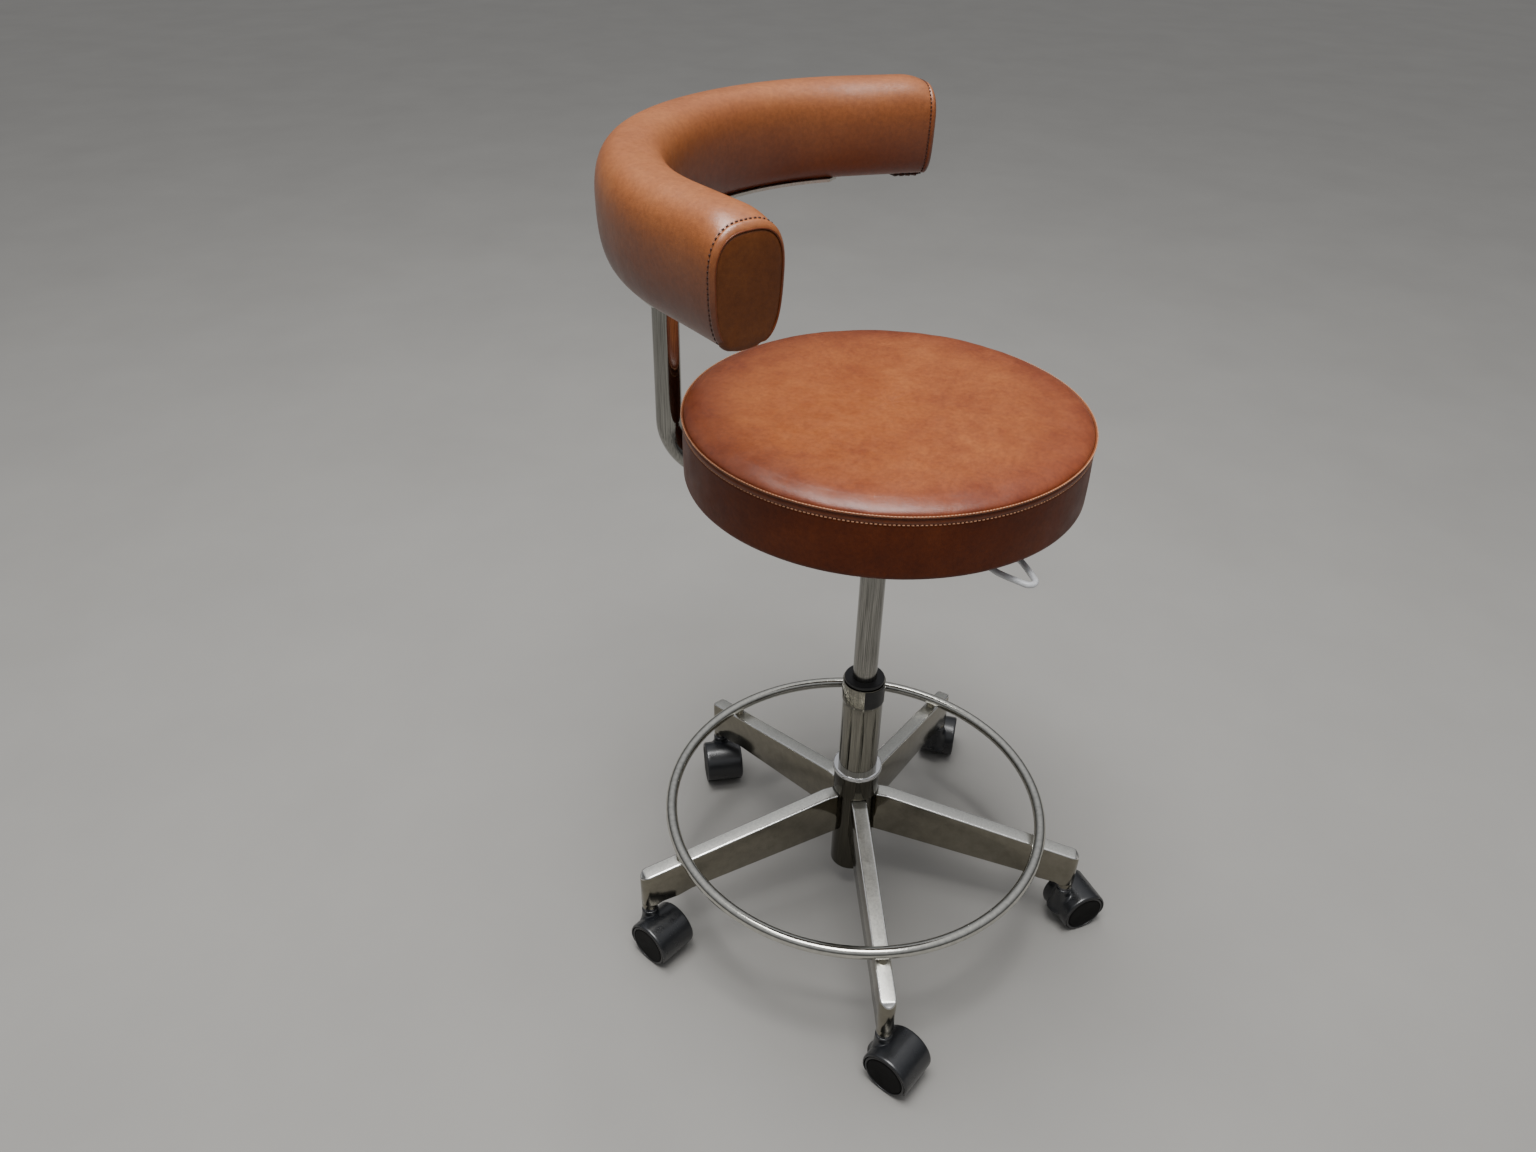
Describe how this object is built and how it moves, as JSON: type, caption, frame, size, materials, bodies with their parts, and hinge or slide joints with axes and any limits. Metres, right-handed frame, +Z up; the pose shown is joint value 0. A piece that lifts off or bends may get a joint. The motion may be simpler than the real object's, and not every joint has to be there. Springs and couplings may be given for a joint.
{
  "type": "dental operator's stool",
  "caption": "Height-adjustable stool with a round leather seat, a curved body support that swings around it, a foot ring and a star base on twin-wheel casters.",
  "frame": {"origin": "on the floor, at the middle of the stool's outline seen from above; the column's axis stands at x -10 mm, y +25 mm", "axes": "+Z up; +Y towards the middle of the body support, so the sitter faces -Y; +X to the sitter's left"},
  "size_m": [0.6073, 0.5895, 0.937],
  "materials": {
    "polished_steel": "polished stainless steel with fine lengthwise streaks",
    "chrome": "bright chrome plate",
    "dark_steel": "oiled dark steel",
    "black_steel": "satin black powder coat",
    "black_plastic": "satin black nylon",
    "wheel_plastic": "hard black nylon, satin",
    "grey_label": "plain dark foil label without lettering",
    "plywood": "bare birch plywood",
    "foam": "upholstery foam, hidden under the cover",
    "seat_leather": "reddish cognac pull-up leather",
    "welt_leather": "cognac leather over a cord",
    "back_leather": "tan cognac pull-up leather",
    "dark_leather": "dark brown leather",
    "black_cloth": "black spun-bonded dust cover"
  },
  "bodies": {
    "base": {"hub_tube": "polished_steel", "arm_1": "polished_steel", "arm_2": "polished_steel", "arm_3": "polished_steel", "arm_4": "polished_steel", "arm_5": "polished_steel", "collar_ring": "chrome", "column_tube": "polished_steel", "guide_bush": "black_plastic", "column_label": "grey_label", "foot_ring": "chrome", "ring_saddles": "chrome", "ring_screws": "dark_steel", "caster_stems": "dark_steel", "thrust_bearing": "dark_steel"},
    "column_rod": {"piston_rod": "chrome", "rod_clip": "dark_steel"},
    "seat": {"gas_cylinder": "chrome", "taper_socket": "black_steel", "swing_clip": "dark_steel", "mount_plate": "black_steel", "plate_screws": "dark_steel", "lever_pin": "chrome", "seat_board": "plywood", "seat_foam": "foam", "seat_top": "seat_leather", "seat_band": "seat_leather", "seat_welt": "welt_leather", "dust_cover": "black_cloth"},
    "lever": {"release_lever": "chrome"},
    "valve": {"valve_pin": "black_plastic"},
    "body_support": {"swing_collar": "chrome", "stem_tube": "chrome", "back_bracket": "black_steel", "bracket_screws": "dark_steel", "back_core": "plywood", "back_pad": "back_leather", "back_cap_left": "back_leather", "back_cap_right": "back_leather", "back_strips": "dark_leather"},
    "caster_1": {"caster_hood_1": "black_plastic", "caster_axle_1": "dark_steel"},
    "wheel_left_1": {"wheel_left_1": "wheel_plastic"},
    "wheel_right_1": {"wheel_right_1": "wheel_plastic"},
    "caster_2": {"caster_hood_2": "black_plastic", "caster_axle_2": "dark_steel"},
    "wheel_left_2": {"wheel_left_2": "wheel_plastic"},
    "wheel_right_2": {"wheel_right_2": "wheel_plastic"},
    "caster_3": {"caster_hood_3": "black_plastic", "caster_axle_3": "dark_steel"},
    "wheel_left_3": {"wheel_left_3": "wheel_plastic"},
    "wheel_right_3": {"wheel_right_3": "wheel_plastic"},
    "caster_4": {"caster_hood_4": "black_plastic", "caster_axle_4": "dark_steel"},
    "wheel_left_4": {"wheel_left_4": "wheel_plastic"},
    "wheel_right_4": {"wheel_right_4": "wheel_plastic"},
    "caster_5": {"caster_hood_5": "black_plastic", "caster_axle_5": "dark_steel"},
    "wheel_left_5": {"wheel_left_5": "wheel_plastic"},
    "wheel_right_5": {"wheel_right_5": "wheel_plastic"}
  },
  "joints": [
    {"name": "column_turn", "type": "hinge", "parent": "base", "child": "column_rod", "pos_m": [-0.01, 0.025, 0.051], "axis": [0, 0, 1], "continuous": true},
    {"name": "seat_height", "type": "slide", "parent": "column_rod", "child": "seat", "axis": [0, 0, 1], "range_m": [-0.15, 0.04]},
    {"name": "lever_lift", "type": "hinge", "parent": "seat", "child": "lever", "pos_m": [-0.03635, -0.01512, 0.602], "axis": [-0.8358, 0.549, 0], "range_deg": [0, 4], "stiffness_Nm_per_rad": 3, "springref_deg": -11.46},
    {"name": "valve_press", "type": "slide", "parent": "seat", "child": "valve", "axis": [0, 0, -1], "range_m": [0, 0.0037]},
    {"name": "support_swing", "type": "hinge", "parent": "seat", "child": "body_support", "pos_m": [-0.01, 0.025, 0.579], "axis": [0, 0, 1], "range_deg": [-110, 110]},
    {"name": "caster_1_swivel", "type": "hinge", "parent": "base", "child": "caster_1", "pos_m": [-0.25692, -0.08545, 0.055], "axis": [0, 0, 1], "continuous": true},
    {"name": "wheel_left_1_spin", "type": "hinge", "parent": "caster_1", "child": "wheel_left_1", "pos_m": [-0.26376, -0.10425, 0.0265], "axis": [0.9397, -0.342, 0], "continuous": true},
    {"name": "wheel_right_1_spin", "type": "hinge", "parent": "caster_1", "child": "wheel_right_1", "pos_m": [-0.26376, -0.10425, 0.0265], "axis": [0.9397, -0.342, 0], "continuous": true},
    {"name": "caster_2_swivel", "type": "hinge", "parent": "base", "child": "caster_2", "pos_m": [0.01874, -0.24397, 0.055], "axis": [0, 0, 1], "continuous": true},
    {"name": "wheel_left_2_spin", "type": "hinge", "parent": "caster_2", "child": "wheel_left_2", "pos_m": [0.03213, -0.25883, 0.0265], "axis": [0.7431, 0.6691, 0], "continuous": true},
    {"name": "wheel_right_2_spin", "type": "hinge", "parent": "caster_2", "child": "wheel_right_2", "pos_m": [0.03213, -0.25883, 0.0265], "axis": [0.7431, 0.6691, 0], "continuous": true},
    {"name": "caster_3_swivel", "type": "hinge", "parent": "base", "child": "caster_3", "pos_m": [0.25469, -0.03078, 0.055], "axis": [0, 0, 1], "continuous": true},
    {"name": "wheel_left_3_spin", "type": "hinge", "parent": "caster_3", "child": "wheel_left_3", "pos_m": [0.27458, -0.02869, 0.0265], "axis": [-0.1045, 0.9945, 0], "continuous": true},
    {"name": "wheel_right_3_spin", "type": "hinge", "parent": "caster_3", "child": "wheel_right_3", "pos_m": [0.27458, -0.02869, 0.0265], "axis": [-0.1045, 0.9945, 0], "continuous": true},
    {"name": "caster_4_swivel", "type": "hinge", "parent": "base", "child": "caster_4", "pos_m": [0.12484, 0.2595, 0.055], "axis": [0, 0, 1], "continuous": true},
    {"name": "wheel_left_4_spin", "type": "hinge", "parent": "caster_4", "child": "wheel_left_4", "pos_m": [0.10752, 0.2495, 0.0265], "axis": [0.5, -0.866, 0], "continuous": true},
    {"name": "wheel_right_4_spin", "type": "hinge", "parent": "caster_4", "child": "wheel_right_4", "pos_m": [0.10752, 0.2495, 0.0265], "axis": [0.5, -0.866, 0], "continuous": true},
    {"name": "caster_5_swivel", "type": "hinge", "parent": "base", "child": "caster_5", "pos_m": [-0.19135, 0.2257, 0.055], "axis": [0, 0, 1], "continuous": true},
    {"name": "wheel_left_5_spin", "type": "hinge", "parent": "caster_5", "child": "wheel_left_5", "pos_m": [-0.19884, 0.20716, 0.0265], "axis": [0.9272, -0.3746, 0], "continuous": true},
    {"name": "wheel_right_5_spin", "type": "hinge", "parent": "caster_5", "child": "wheel_right_5", "pos_m": [-0.19884, 0.20716, 0.0265], "axis": [0.9272, -0.3746, 0], "continuous": true}
  ],
  "couplings": [
    {"joint": "valve_press", "follows": "lever_lift", "m_per_rad": 0.052}
  ]
}
